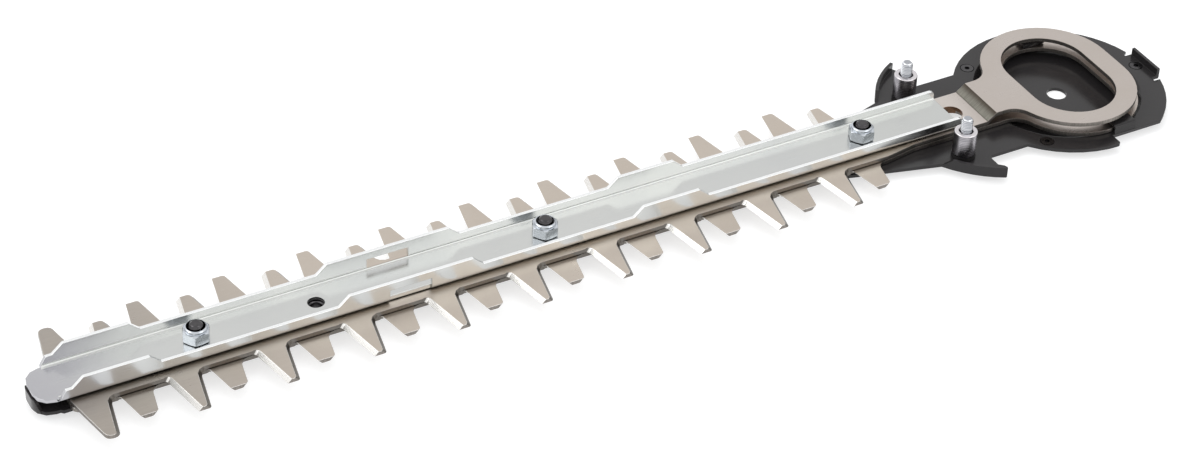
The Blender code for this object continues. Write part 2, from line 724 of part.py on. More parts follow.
def base_screw_places():
    """The three screws of the flange."""
    reach = flange_radius - BASE_SCREW_INSET
    side_x = drive_x - reach * cos(BASE_SCREW_TURN)
    side_y = reach * sin(BASE_SCREW_TURN)
    end_x = drive_x + flange_radius - END_SCREW_INSET
    return ((side_x, -side_y), (side_x, side_y), (end_x, -END_SCREW_Y))


def build_base_screws(group, helpers, looks):
    """Small black screws whose heads are sunk in the flange."""
    top = base_top
    under_head = top - BASE_SCREW_HEAD_HEIGHT
    end = base_bottom - BASE_SCREW_LENGTH
    for index, place in enumerate(base_screw_places()):
        profile = ((0, top), (BASE_SCREW_HEAD_RADIUS, top), (BASE_SCREW_HEAD_RADIUS, under_head),
                   (BASE_SCREW_RADIUS, under_head), (BASE_SCREW_RADIUS, end), (0, end))
        screw = turned_piece(f"base_screw_{index + 1}", profile, place, group, looks["black_steel"])
        socket = round_cutter(f"base_screw_socket_{index + 1}", [place], BASE_SCREW_SOCKET_RADIUS,
                              top - BASE_SCREW_SOCKET_DEPTH, top + OVERRUN, helpers, sides=6)
        combine(screw, socket, "DIFFERENCE")


def ear_edge(side):
    """The ear's bowed outer edge, from its start to its tip; side is -1 near and 1 far."""
    if side < 0:
        start = Vector((drive_x - NEAR_EAR_START_TO_DRIVE, -NEAR_EAR_START_Y))
        end = Vector((drive_x - NEAR_EAR_TIP_TO_DRIVE, -NEAR_EAR_TIP_Y))
        bulge = NEAR_EAR_BULGE
    else:
        start = Vector((drive_x - FAR_EAR_START_TO_DRIVE, FAR_EAR_START_Y))
        end = Vector((drive_x - FAR_EAR_TIP_TO_DRIVE, FAR_EAR_TIP_Y))
        bulge = FAR_EAR_BULGE
    half = (end - start) / 2
    radius = (half.length_squared + bulge ** 2) / (2 * bulge)
    outward = Vector((-half.y, half.x)).normalized() * side
    centre = (start + end) / 2 - outward * (radius - bulge)
    count = 2 * SMALL_ARC_STEPS
    shares = [index / count for index in range(count + 1)]
    aways = [(start - centre).slerp(end - centre, share).normalized() for share in shares]
    return [centre + away * radius for away in aways]


def ear_corners(side):
    """The ear's corners from the strip outwards to the flange."""
    edge_x = drive_x - sqrt(flange_radius ** 2 - ear_inner_y ** 2)
    edge = ear_edge(side)
    tip = edge[-1]
    hook_x = tip.x + HOOK_TO_TIP
    hook_y = abs(tip.y) - HOOK_WIDTH
    neck_x = hook_x - HOOK_NECK_SETBACK
    neck_y = hook_y - HOOK_NECK_WIDTH
    return ((drive_x - EAR_START_TO_DRIVE, side * STRIP_HALF_WIDTH, 0),
            *[(point.x, point.y, 0) for point in edge[:-1]],
            (tip.x, tip.y, EAR_TIP_RADIUS),
            (hook_x, side * hook_y, HOOK_RADIUS),
            (neck_x, side * neck_y, 0),
            (neck_x, side * ear_inner_y, HOOK_RADIUS),
            (edge_x, side * ear_inner_y, 0))


def wall_foot():
    """Where a bent-up wall starts inside the sheet, above its outer bend."""
    return base_bottom + BASE_SHEET * WALL_FOOT_SHARE


def wall_y():
    """Inner face of the tongues' upright walls."""
    return yoke_reach + GAP


def flange_corners():
    """The round flange's corners, from the near ear to the far ear."""
    centre = (drive_x, 0)
    chord_y = wall_y() + BASE_SHEET + GAP
    start = pi + atan2(ear_inner_y, sqrt(flange_radius ** 2 - ear_inner_y ** 2))
    spur = -atan2(flange_radius, CHORD_START)
    spur_y = -sqrt(flange_radius ** 2 - CHORD_START ** 2)
    lobe_start = -atan2(chord_y, sqrt(near_lobe_radius ** 2 - chord_y ** 2))
    tab_x = drive_x + tab_reach - GAP
    tab_inner = tab_x - BASE_SHEET
    notch_x = tab_inner - NOTCH_DEPTH
    near_edge = TAB_NEAR_Y + NOTCH_WIDTH
    far_edge = TAB_FAR_Y + NOTCH_WIDTH
    lobe_end = -atan2(near_edge, sqrt(near_lobe_radius ** 2 - near_edge ** 2))
    far_start = atan2(far_edge, sqrt(flange_radius ** 2 - far_edge ** 2))
    corners = [(x, y, 0) for x, y in arc(centre, flange_radius, start - 2 * pi, spur)[1:-1]]
    corners.append((drive_x + CHORD_START, spur_y, SPUR_TIP_RADIUS))
    corners.append((drive_x + CHORD_START, -chord_y, 0))
    corners += [(x, y, 0) for x, y in arc(centre, near_lobe_radius, lobe_start, lobe_end)]
    corners += [(notch_x, -near_edge, 0), (notch_x, -TAB_NEAR_Y, 0), (tab_x, -TAB_NEAR_Y, 0)]
    corners += [(tab_x, TAB_FAR_Y, 0), (notch_x, TAB_FAR_Y, 0), (notch_x, far_edge, 0)]
    corners += [(x, y, 0) for x, y in arc(centre, flange_radius, far_start, 2 * pi - start)[:-1]]
    return corners


def base_outline():
    """The base plate's whole outline, anticlockwise from the nose."""
    neck_x = nose_x + BASE_NOSE_LENGTH
    nose = [(nose_x, -BASE_NOSE_HALF_WIDTH, BASE_NOSE_RADIUS), (neck_x, -BASE_NOSE_HALF_WIDTH, 0),
            (neck_x + STRIP_HALF_WIDTH - BASE_NOSE_HALF_WIDTH, -STRIP_HALF_WIDTH, 0)]
    far_nose = [(x, -y, radius) for x, y, radius in reversed(nose)]
    far_ear = list(reversed(ear_corners(1)))
    return rounded([*nose, *ear_corners(-1), *flange_corners(), *far_ear, *far_nose])


def upturned_edge(name, path, height, shares, helpers):
    """A wall that stands on the plate's edge along a path of outer points.

    Where its share of the height is 0 it ends inside the sheet.
    """
    mesh = bpy.data.meshes.new(name)
    work = bmesh.new()
    line = [work.verts.new((x, y, wall_foot())) for x, y in path]
    edges = [work.edges.new(pair) for pair in zip(line, line[1:])]
    raised = bmesh.ops.extrude_edge_only(work, edges=edges)
    tops = [item for item in raised["geom"] if isinstance(item, bmesh.types.BMVert)]
    hidden_z = (wall_foot() + base_top) / 2
    for vert in tops:
        nearest = min(range(len(path)), key=lambda index: hypot(vert.co.x - path[index][0],
                                                               vert.co.y - path[index][1]))
        vert.co.z = hidden_z + (base_top + height - hidden_z) * shares[nearest]
    work.to_mesh(mesh)
    work.free()
    wall = mesh_object(name, mesh, helpers)
    thick = wall.modifiers.new("sheet", "SOLIDIFY")
    thick.thickness = BASE_SHEET
    thick.offset = WALL_OFFSET_SHARE
    thick.use_even_offset = True
    return wall


def ear_flange(side, helpers):
    """The ear's outer edge, turned up."""
    path = [tuple(point) for point in ear_edge(side)]
    shares = [0] + [1] * (len(path) - 1)
    if side > 0:
        path.reverse()
        shares.reverse()
    return upturned_edge(f"ear_flange_{side}", path, EAR_FLANGE_HEIGHT, shares, helpers)


def nose_lip(helpers):
    """The lip turned up round the nose."""
    centre_x = nose_x + BASE_NOSE_RADIUS
    centre_y = BASE_NOSE_HALF_WIDTH - BASE_NOSE_RADIUS
    spread = pi / 4
    far = arc((centre_x, centre_y), BASE_NOSE_RADIUS, pi - spread, pi)
    near = arc((centre_x, -centre_y), BASE_NOSE_RADIUS, pi, pi + spread)
    path = far + near
    shares = [min(1, index / SMALL_ARC_STEPS, (len(path) - 1 - index) / SMALL_ARC_STEPS)
              for index in range(len(path))]
    return upturned_edge("nose_lip", path, NOSE_LIP_HEIGHT, shares, helpers)


def tongue(side, helpers):
    """A tongue bent up and over the lower yoke's edge."""
    inner = wall_y()
    outer = inner + BASE_SHEET
    under = lower_top + GAP
    over = under + BASE_SHEET
    end = inner - TONGUE_REACH
    foot = wall_foot()
    corners = [(outer, foot, 0), (outer, over, TONGUE_BEND_RADIUS), (end, over, 0), (end, under, 0),
               (inner, under, 0), (inner, foot, 0)]
    outline = [(side * y, z) for y, z in rounded(corners)]
    start_x = drive_x + TONGUE_START
    return extruded_along(f"tongue_{side}", outline, start_x, start_x + TONGUE_WIDTH, "X", helpers)


def dish_helpers(helpers):
    """The dish pressed into the flange: the solid pan, and the hollow and hole cut from it."""
    centre = (drive_x, 0)
    run = DISH_SLOPE_RUN / DISH_DEPTH
    middle = (base_bottom + base_top) / 2
    above = base_top + OVERRUN
    pan = ((0, middle), (dish_floor_radius + run * middle, middle), (dish_floor_radius, 0), (0, 0))
    hollow = ((0, above), (dish_floor_radius + run * (above - BASE_SHEET), above),
              (dish_floor_radius, BASE_SHEET), (0, BASE_SHEET))
    hole = round_cutter("dish_hole", [centre], DISH_HOLE_RADIUS, -OVERRUN, BASE_SHEET + OVERRUN, helpers)
    return (turned_piece("dish_pan", pan, centre, helpers, steps=2 * TURN_STEPS),
            turned_piece("dish_hollow", hollow, centre, helpers, steps=2 * TURN_STEPS), hole)


def base_holes(helpers):
    """Holes for the bolts, the sleeve screws and the sunk screws, and the hole under the neck."""
    span = (base_bottom - OVERRUN, base_top + OVERRUN)
    bolts = [(x, 0) for x in bolt_places]
    ears = [(sleeve_x, -SLEEVE_Y), (sleeve_x, SLEEVE_Y), (guard_x, 0)]
    light = [(drive_x - LIGHT_HOLE_TO_DRIVE, 0)]
    sunk = base_screw_places()
    seat = base_top - BASE_SCREW_HEAD_HEIGHT - GAP
    return [round_cutter("base_bolt_holes", bolts, BOLT_RADIUS + GAP, *span, helpers),
            round_cutter("base_screw_holes", ears, SCREW_RADIUS + GAP, *span, helpers),
            round_cutter("light_hole", light, LIGHT_HOLE_RADIUS, *span, helpers),
            round_cutter("shank_holes", sunk, BASE_SCREW_RADIUS + GAP, *span, helpers),
            round_cutter("head_holes", sunk, BASE_SCREW_HEAD_RADIUS + GAP, seat, base_top + OVERRUN, helpers)]


def build_base_plate(group, helpers, look):
    """One pressed sheet: strip, ears, dished flange, tongues and end tab."""
    plate = flat_piece("base_plate", base_outline(), base_bottom, base_top, group, look)
    tab_x = drive_x + tab_reach
    tab = box("end_tab", (tab_x - BASE_SHEET, GAP - TAB_NEAR_Y, wall_foot()),
              (tab_x, TAB_FAR_Y - GAP, base_top + TAB_HEIGHT), helpers)
    pan, hollow, hole = dish_helpers(helpers)
    added = [pan, nose_lip(helpers), tab]
    for side in (-1, 1):
        added += [ear_flange(side, helpers), tongue(side, helpers)]
    combine_all(plate, added, "UNION", helpers)
    combine_all(plate, [hollow, hole, *base_holes(helpers)], "DIFFERENCE", helpers)


def shade(group):
    """Smooth shading on what is round, sharp at its edges."""
    for piece in group.objects:
        piece.data.shade_smooth()
        piece.data.set_sharp_from_angle(angle=SMOOTH_ANGLE)


def main():
    clear_scene()
    group = new_collection("hedge_trimmer_blade")
    helpers = new_collection("cutters")
    looks = {
        "zinc": new_material("zinc", (0.62, 0.66, 0.66), 0.3, 1),
        "ground_steel": new_material("ground_steel", (0.56, 0.50, 0.45), 0.35, 1),
        "black_sheet": new_material("black_sheet", (0.03, 0.028, 0.028), 0.4, 0),
        "black_steel": new_material("black_steel", (0.02, 0.02, 0.022), 0.35, 0.5),
        "turned_steel": new_material("turned_steel", (0.40, 0.39, 0.42), 0.35, 1),
        "bush_steel": new_material("bush_steel", (0.45, 0.44, 0.43), 0.4, 1),
        "nylon": new_material("nylon", (0.02, 0.02, 0.02), 0.5, 0),
    }
    build_blades(group, helpers, looks["ground_steel"])
    build_guide_bar(group, helpers, looks["zinc"])
    build_bolts(group, helpers, looks)
    build_guard_nut(group, looks)
    build_sleeves(group, helpers, looks)
    build_base_screws(group, helpers, looks)
    build_base_plate(group, helpers, looks["black_sheet"])
    shade(group)


main()
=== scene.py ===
"""Looks of the hedge trimmer blade: rounded edges, threads, ground and turned finishes, stage."""

from math import cos, hypot, pi, radians, sin

import bmesh
import bpy
from bpy.props import FloatProperty, FloatVectorProperty, IntProperty, PointerProperty
from mathutils import Matrix, Vector


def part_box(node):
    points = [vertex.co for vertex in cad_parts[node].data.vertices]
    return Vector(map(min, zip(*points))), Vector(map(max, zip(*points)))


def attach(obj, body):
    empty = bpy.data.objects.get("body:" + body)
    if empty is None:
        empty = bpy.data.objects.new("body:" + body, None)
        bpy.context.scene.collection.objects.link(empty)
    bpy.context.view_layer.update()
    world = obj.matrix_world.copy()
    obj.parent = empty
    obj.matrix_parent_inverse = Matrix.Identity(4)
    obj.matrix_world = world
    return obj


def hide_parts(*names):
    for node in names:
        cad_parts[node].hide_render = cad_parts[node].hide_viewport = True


bl_info = {
    "name": "Hedge Trimmer Blade",
    "version": (1, 0, 0),
    "blender": (4, 5, 0),
    "location": "3D View > Sidebar > Trimmer Blade",
    "description": "Builds the pieces and finishes of a hedge trimmer's blade around its CAD frame",
    "category": "Add Mesh",
}

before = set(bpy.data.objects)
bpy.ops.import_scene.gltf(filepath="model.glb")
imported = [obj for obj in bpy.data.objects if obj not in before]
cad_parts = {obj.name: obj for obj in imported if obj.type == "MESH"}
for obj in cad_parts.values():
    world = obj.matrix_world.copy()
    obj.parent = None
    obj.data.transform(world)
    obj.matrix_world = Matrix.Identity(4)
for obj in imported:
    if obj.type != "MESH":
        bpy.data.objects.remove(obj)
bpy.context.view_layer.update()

NUT_NUMBERS = (1, 2, 3)
SIDES = ("near", "far")
FINISH_MARK = "finish_"

# Points nearer than a weld are joined, and facets that turn by less than a level are one face
WELD = 0.000005
LEVEL = radians(0.8)
COAT_WELD = 0.00006
COAT_LEVEL = radians(1.5)
TURNED_WELD = 0.000001
THREAD_WELD = 0.000002

# Edges that turn by more than this are rounded, or shaded as sharp
BLADE_TURN = radians(30)
SHEET_TURN = radians(40)
DISH_TURN = radians(20)
COAT_TURN = radians(38)
NUT_TURN = radians(25)
SHARP_TURN = radians(42)

# Faces of the blades are told apart by shares of their normals and by their places
FLAT_TILT = 0.97
BEVEL_TILT = 0.35
FLANK_TURN = 0.25
ROOT_REACH = 0.024
NECK_HOLE = (0.15625, 0.0)
NECK_HOLE_RADIUS = 0.00475
HOLE_WALL_SHARE = 1.1
RAMP_TILT = 0.5
RAMP_TWIST = 0.2
RAMP_AREA = 0.00001

# Faces of the guide channel: cut edges on the lips, brightened as a painted highlight, and bends on
# the inside, lightened as painted light
LIP_TILT = 0.3
LIP_EDGE_FROM = 0.0125
BEND_TILT_FROM = 0.1
BEND_TILT_TO = 0.99
BEND_TWIST = 0.1

# Stretches along the part, from start to end, over which a tone comes or goes
ZINC_NOSE = (-0.262, -0.205)
ZINC_HEEL = (0.060, 0.155)
STEEL_NOSE = (-0.240, -0.120)
STEEL_NECK = (0.120, 0.146)
STEEL_HEEL = (0.156, 0.170)
# Stretches of the ramp that carry painted shade: a dark line at its foot and a darker crest
RAMP_FOOT_SHADE = (0.1658, 0.1664)
RAMP_CREST_SHADE = (0.1672, 0.1702)

# Sleeves: the corner of the rim is given as shares of the rim's width
SLEEVE_BORE = 0.0030
SLEEVE_RIM = 0.00055
CORNER_REACH = 0.35
CORNER_DROP = 0.3
SLEEVE_STEPS = 64
RIM_BAND = 0.0006

# Threads: the crest is a share of the pitch, and the end narrows along a curve
BOLT_RADIUS = 0.0030
SCREW_RADIUS = 0.0025
CREST_SHARE = 0.12
SPARE_TURNS = 3
THREAD_CUT = 0.0000005
END_NARROWING = 0.42
END_CURVE = 1.6

# Stage
WHITE = (1, 1, 1, 1)
SENSOR_WIDTH = 36
CLIP_RANGE = (0.01, 50)
FLOOR_REACH = 6
FLOOR_DROP = 0.0002
SHOWN_FLOOR = (0.42, 0.42, 0.42, 1)
FLOOR_GLOW = 0.66
SKY_COLOR = (0.97, 0.985, 1, 1)
SKY_HEIGHTS = (-0.1, 0.9)
SKY_STRENGTHS = (0.55, 0.85)
CARD_PLACE = Vector((1.75, 1.05, 0.0))
CARD_TARGET = Vector((0.05, 0, 0))
CARD_SIZE = (2.4, 0.36)
CARD_COLOR = (0.03, 0.03, 0.03, 1)
# Name, place, target, size, power, and whether the lamp is mirrored in the metal
LAMPS = (("overhead", (0.10, 0.55, 1.25), (0.02, 0, 0), (1.5, 0.9), 9, False),
         ("left_panel", (-1.35, 0.45, 1.30), (0, 0, 0), (1.3, 1.0), 8, True),
         ("front_panel", (0.85, -1.45, 1.30), (0, 0, 0), (1.3, 1.0), 5, True))


def middle_of(node_name):
    """The middle of a CAD node's box."""
    low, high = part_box(node_name)
    return (low + high) / 2


class EdgeSettings(bpy.types.PropertyGroup):
    """How far the edges of the pieces are rounded."""

    sheet: FloatProperty(
        name="Sheet edges", description="Rounding of the guide channel's edges",
        default=0.00016, unit="LENGTH")
    blade: FloatProperty(
        name="Blade edges", description="Rounding of the blades' punched edges",
        default=0.00010, unit="LENGTH")
    fastener: FloatProperty(
        name="Fastener edges", description="Rounding of the lock nuts' edges",
        default=0.00015, unit="LENGTH")
    dish: FloatProperty(
        name="Dish bends", description="Rounding at the foot of the base plate's dish",
        default=0.0013, unit="LENGTH")
    steps: IntProperty(
        name="Steps", description="Facets across a rounded edge", default=2)
    coat: FloatProperty(
        name="Coated edges", description="Rounding of the black base plate's edges",
        default=0.00015, unit="LENGTH")
    dish_foot: FloatProperty(
        name="Dish foot", description="Height below which the dish's bend is rounded",
        default=0.0016, unit="LENGTH")
    dish_steps: IntProperty(
        name="Dish steps", description="Facets across the dish's bend", default=5)
    coat_top: FloatProperty(
        name="Coated top", description="Height above which short edges are joined first",
        default=0.00415, unit="LENGTH")
    coat_merge: FloatProperty(
        name="Coated merge", description="Length up to which short edges are joined",
        default=0.00055, unit="LENGTH")
    coat_from: FloatProperty(
        name="Coated from", description="Height above which the base plate's edges are rounded",
        default=0.0031, unit="LENGTH")
    coat_steps: IntProperty(
        name="Coated steps", description="Facets across a rounded coated edge", default=3)


class ThreadSettings(bpy.types.PropertyGroup):
    """Sizes of the threads."""

    screw_pitch: FloatProperty(
        name="Screw pitch", description="Rise of the M5 thread in one turn",
        default=0.0008, unit="LENGTH")
    bolt_pitch: FloatProperty(
        name="Bolt pitch", description="Rise of the M6 thread in one turn",
        default=0.0010, unit="LENGTH")
    depth_share: FloatProperty(
        name="Depth", description="Depth of the thread as a share of its pitch", default=0.55)
    sides: IntProperty(
        name="Sides", description="Facets in one turn", default=36)
    end_length: FloatProperty(
        name="Rounded end", description="Length of a thread's rounded end",
        default=0.0013, unit="LENGTH")
    screw_seat: FloatProperty(
        name="Screw seat", description="Height of the thread's start above the screw's underside",
        default=0.0030, unit="LENGTH")


class FinishSettings(bpy.types.PropertyGroup):
    """Main colours of the finishes."""

    zinc: FloatVectorProperty(
        name="Zinc", description="Zinc plating of the guide channel",
        subtype="COLOR", size=3, min=0, max=1, default=(0.63, 0.635, 0.62))
    bright_zinc: FloatVectorProperty(
        name="Bright zinc", description="Plating of the lock nuts",
        subtype="COLOR", size=3, min=0, max=1, default=(0.58, 0.61, 0.645))
    steel: FloatVectorProperty(
        name="Blade steel", description="Ground flats of the blades",
        subtype="COLOR", size=3, min=0, max=1, default=(0.57, 0.505, 0.44))
    bevel: FloatVectorProperty(
        name="Ground bevels", description="Freshly ground bevels of the teeth",
        subtype="COLOR", size=3, min=0, max=1, default=(0.80, 0.78, 0.75))
    black: FloatVectorProperty(
        name="Black coat", description="Coating of the base plate and washers",
        subtype="COLOR", size=3, min=0, max=1, default=(0.020, 0.0185, 0.019))
    turned: FloatVectorProperty(
        name="Turned steel", description="Walls of the sleeves",
        subtype="COLOR", size=3, min=0, max=1, default=(0.52, 0.50, 0.525))


class StageSettings(bpy.types.PropertyGroup):
    """Camera, and the floor's colour."""

    azimuth: FloatProperty(
        name="Azimuth", description="Where the camera stands round the part",
        subtype="ANGLE", default=radians(-29.82))
    elevation: FloatProperty(
        name="Elevation", description="Height of the camera above the horizon",
        subtype="ANGLE", default=radians(37.47))
    roll: FloatProperty(
        name="Roll", description="Turn of the camera about its own line of sight",
        subtype="ANGLE", default=radians(2.298))
    place: FloatVectorProperty(
        name="Camera place", description="Where the camera is",
        subtype="XYZ", unit="LENGTH", size=3, default=(-0.50138, -0.84076, 0.74835))
    lens: FloatProperty(
        name="Lens", description="Focal length in millimetres on a 36 mm sensor", default=92.06)
    floor: FloatVectorProperty(
        name="Floor", description="Colour of the floor in the light that it throws back",
        subtype="COLOR", size=3, min=0, max=1, default=(0.80, 0.80, 0.80))


def add_node(tree, kind, inputs=None, **settings):
    """Add a shader node. Inputs are values, or sockets to link from."""
    made = tree.nodes.new(kind)
    for key, value in settings.items():
        setattr(made, key, value)
    for key, value in (inputs or {}).items():
        if isinstance(value, bpy.types.NodeSocket):
            tree.links.new(value, made.inputs[key])
        else:
            made.inputs[key].default_value = value
    return made


def math_node(tree, operation, first, second=0.0, third=0.0):
    """One step of arithmetic; gives its result's socket."""
    inputs = {0: first, 1: second, 2: third}
    return add_node(tree, "ShaderNodeMath", inputs, operation=operation).outputs[0]


def mix_colors(tree, factor, first, second):
    """Mix two colours; gives the result's socket."""
    # The node has sockets of the same names for each kind of data, so these go by their places
    inputs = {0: factor, 6: first, 7: second}
    return add_node(tree, "ShaderNodeMix", inputs, data_type="RGBA").outputs[2]


def new_group(name, inputs, outputs):
    """Start a node group with a vector input, further inputs (default) and number outputs."""
    tree = bpy.data.node_groups.new(name, "ShaderNodeTree")
    tree.interface.new_socket("Vector", in_out="INPUT", socket_type="NodeSocketVector")
    for key, default in inputs.items():
        kind = "NodeSocketVector" if isinstance(default, tuple) else "NodeSocketFloat"
        socket = tree.interface.new_socket(key, in_out="INPUT", socket_type=kind)
        socket.default_value = default
    for key in outputs:
        tree.interface.new_socket(key, in_out="OUTPUT", socket_type="NodeSocketFloat")
    start = tree.nodes.new("NodeGroupInput")
    end = tree.nodes.new("NodeGroupOutput")
    return tree, start.outputs, end.inputs


def make_soft_patches():
    """Group for soft patches: a broad tone and a finer mottle."""
    tree, given, result = new_group(
        "soft_patches", {"Scale": 60.0, "Fine Scale": 500.0, "Fine Share": 0.3}, ["Tone"])
    broad = add_node(tree, "ShaderNodeTexNoise", {
        "Vector": given["Vector"], "Scale": given["Scale"], "Detail": 3.0, "Roughness": 0.55})
    fine = add_node(tree, "ShaderNodeTexNoise", {
        "Vector": given["Vector"], "Scale": given["Fine Scale"], "Detail": 4.0,
        "Roughness": 0.6})
    mixed = add_node(tree, "ShaderNodeMix", {
        "Factor": given["Fine Share"], "A": broad.outputs["Fac"], "B": fine.outputs["Fac"]})
    spread = add_node(tree, "ShaderNodeMapRange", {
        "Value": mixed.outputs["Result"], "From Min": 0.32, "From Max": 0.68})
    tree.links.new(spread.outputs["Result"], result["Tone"])


def make_drawn_lines():
    """Group for fine drawn lines and scratches: noise stretched along one direction."""
    tree, given, result = new_group(
        "drawn_lines", {"Stretch": (60.0, 2400.0, 2400.0), "Contrast": 0.5},
        ["Line", "Scratch"])
    place = add_node(tree, "ShaderNodeMapping", {
        "Vector": given["Vector"], "Scale": given["Stretch"]}, vector_type="POINT")
    lines = add_node(tree, "ShaderNodeTexNoise", {
        "Vector": place.outputs["Vector"], "Scale": 1.0, "Detail": 5.0, "Roughness": 0.65})
    half = math_node(tree, "MULTIPLY", given["Contrast"], 0.5)
    low = math_node(tree, "SUBTRACT", 0.5, half)
    high = math_node(tree, "ADD", 0.5, half)
    spread = add_node(tree, "ShaderNodeMapRange", {
        "Value": lines.outputs["Fac"], "From Min": low, "From Max": high})
    scratch = add_node(tree, "ShaderNodeMapRange", {
        "Value": lines.outputs["Fac"], "From Min": 0.66, "From Max": 0.72})
    tree.links.new(spread.outputs["Result"], result["Line"])
    tree.links.new(scratch.outputs["Result"], result["Scratch"])


def make_turned_rings():
    """Group for turning marks: rings round an upright axis, read from the height."""
    tree, given, result = new_group("turned_rings", {"Pitch": 0.0004}, ["Ring"])
    parts = add_node(tree, "ShaderNodeSeparateXYZ", {"Vector": given["Vector"]})
    turns = math_node(tree, "DIVIDE", parts.outputs["Z"], given["Pitch"])
    wobble = add_node(tree, "ShaderNodeTexNoise", {"W": turns, "Scale": 0.35, "Detail": 3.0},
                      noise_dimensions="1D")
    angle = math_node(tree, "MULTIPLY", turns, 2 * pi)
    wave = math_node(tree, "SINE", angle)
    share = math_node(tree, "MULTIPLY_ADD", wave, 0.5, 0.5)
    total = math_node(tree, "MULTIPLY", share, wobble.outputs["Fac"])
    tree.links.new(total, result["Ring"])


def make_lengthwise():
    """Group for how far along the part a place is, from 0 to 1 between two marks."""
    tree, given, result = new_group(
        "lengthwise", {"Start": 0.0, "End": 0.1}, ["After", "Before"])
    parts = add_node(tree, "ShaderNodeSeparateXYZ", {"Vector": given["Vector"]})
    spread = add_node(tree, "ShaderNodeMapRange", {
        "Value": parts.outputs["X"], "From Min": given["Start"], "From Max": given["End"]},
        interpolation_type="SMOOTHSTEP").outputs["Result"]
    tree.links.new(spread, result["After"])
    tree.links.new(math_node(tree, "SUBTRACT", 1.0, spread), result["Before"])


class Finish:
    """A material under construction: a Principled shader fed by the shared groups."""

    def __init__(self, name, color, roughness, metallic=1, **constants):
        material = bpy.data.materials.new(FINISH_MARK + name)
        material.use_nodes = True
        material.diffuse_color = (*color, 1)
        self.tree = material.node_tree
        self.shader = self.tree.nodes["Principled BSDF"]
        self.shader.inputs["Metallic"].default_value = metallic
        for key, value in constants.items():
            self.shader.inputs[key].default_value = value
        self.place = self.add("ShaderNodeTexCoord").outputs["Object"]
        self.color = self.add("ShaderNodeRGB").outputs["Color"]
        self.color.default_value = (*color, 1)
        self.roughness = self.add("ShaderNodeValue").outputs["Value"]
        self.roughness.default_value = roughness
        self.height = None

    def add(self, kind, inputs=None, **settings):
        """Add a node to this material."""
        return add_node(self.tree, kind, inputs, **settings)

    def group(self, name, inputs):
        """Place a shared group; gives its outputs."""
        made = self.add("ShaderNodeGroup", node_tree=bpy.data.node_groups[name])
        self.tree.links.new(self.place, made.inputs["Vector"])
        for key, value in inputs.items():
            made.inputs[key].default_value = value
        return made.outputs

    def patches(self, scale, fine_scale, fine_share):
        """Mask of soft patches, with the scales of the broad tone and of the mottle."""
        inputs = {"Scale": scale, "Fine Scale": fine_scale, "Fine Share": fine_share}
        return self.group("soft_patches", inputs)["Tone"]

    def lines(self, stretch, contrast):
        """Masks named Line and Scratch, by how dense the lines are along each axis."""
        return self.group("drawn_lines", {"Stretch": stretch, "Contrast": contrast})

    def rings(self, pitch):
        """Mask of turned rings."""
        return self.group("turned_rings", {"Pitch": pitch})["Ring"]

    def before(self, stretch):
        """Mask that fades out over a stretch along the part."""
        return self.group("lengthwise", {"Start": stretch[0], "End": stretch[1]})["Before"]

    def after(self, stretch):
        """Mask that fades in over a stretch along the part."""
        return self.group("lengthwise", {"Start": stretch[0], "End": stretch[1]})["After"]

    def tint(self, mask, color, amount):
        """Lay another colour over the one so far where the mask is strong."""
        factor = math_node(self.tree, "MULTIPLY", mask, amount)
        self.color = mix_colors(self.tree, factor, self.color, (*color, 1))
        return self

    def roughen(self, mask, amount):
        """Raise the roughness where the mask is strong."""
        self.roughness = math_node(self.tree, "MULTIPLY_ADD", mask, amount, self.roughness)
        return self

    def raise_by(self, mask, depth):
        """Add to the fine relief, in metres."""
        step = math_node(self.tree, "MULTIPLY", mask, depth)
        if self.height is not None:
            step = math_node(self.tree, "ADD", self.height, step)
        self.height = step
        return self

    def done(self):
        """Link what was gathered to the shader."""
        links = self.tree.links
        links.new(self.color, self.shader.inputs["Base Color"])
        links.new(self.roughness, self.shader.inputs["Roughness"])
        if self.height is not None:
            bump = self.add("ShaderNodeBump", {
                "Height": self.height, "Strength": 1.0, "Distance": 1.0})
            links.new(bump.outputs["Normal"], self.shader.inputs["Normal"])


def make_plating_finishes(settings):
    """Zinc plating: the guide channel with painted light on its inner bends and a painted highlight
    on its cut edges, and the lock nuts.
    """
    zinc = Finish("zinc", settings.zinc, roughness=0.19)
    patches = zinc.patches(scale=22.0, fine_scale=420.0, fine_share=0.25)
    lines = zinc.lines(stretch=(35.0, 1500.0, 1500.0), contrast=0.55)
    zinc.tint(zinc.before(ZINC_NOSE), (0.42, 0.41, 0.45), 0.85)
    zinc.tint(zinc.after(ZINC_HEEL), (0.55, 0.56, 0.54), 0.6)
    zinc.tint(patches, (0.55, 0.56, 0.57), 0.45).tint(lines["Line"], (0.56, 0.585, 0.57), 0.22)
    zinc.roughen(patches, 0.05).roughen(lines["Scratch"], 0.12)
    zinc.raise_by(lines["Line"], 0.0000022).done()

    # Inner bends: a lighter tone, painted light that softens the dark lines along the bends
    bend = Finish("zinc_bend_painted_light", (0.80, 0.81, 0.79), roughness=0.42)
    lines = bend.lines(stretch=(35.0, 1500.0, 1500.0), contrast=0.55)
    bend.tint(lines["Line"], (0.70, 0.72, 0.70), 0.3).roughen(lines["Scratch"], 0.12).done()

    # Lip tops: cut edges, made near white as a painted highlight
    lip = Finish("zinc_cut_edge_highlight", (0.93, 0.94, 0.94), roughness=0.22)
    lines = lip.lines(stretch=(50.0, 900.0, 2600.0), contrast=0.5)
    lip.tint(lines["Line"], (0.80, 0.81, 0.82), 0.5).roughen(lines["Scratch"], 0.15).done()

    bright = Finish("bright_zinc", settings.bright_zinc, roughness=0.16)
    patches = bright.patches(scale=260.0, fine_scale=1800.0, fine_share=0.4)
    bright.tint(patches, (0.55, 0.59, 0.66), 0.4).roughen(patches, 0.16)
    bright.raise_by(patches, 0.000004).done()


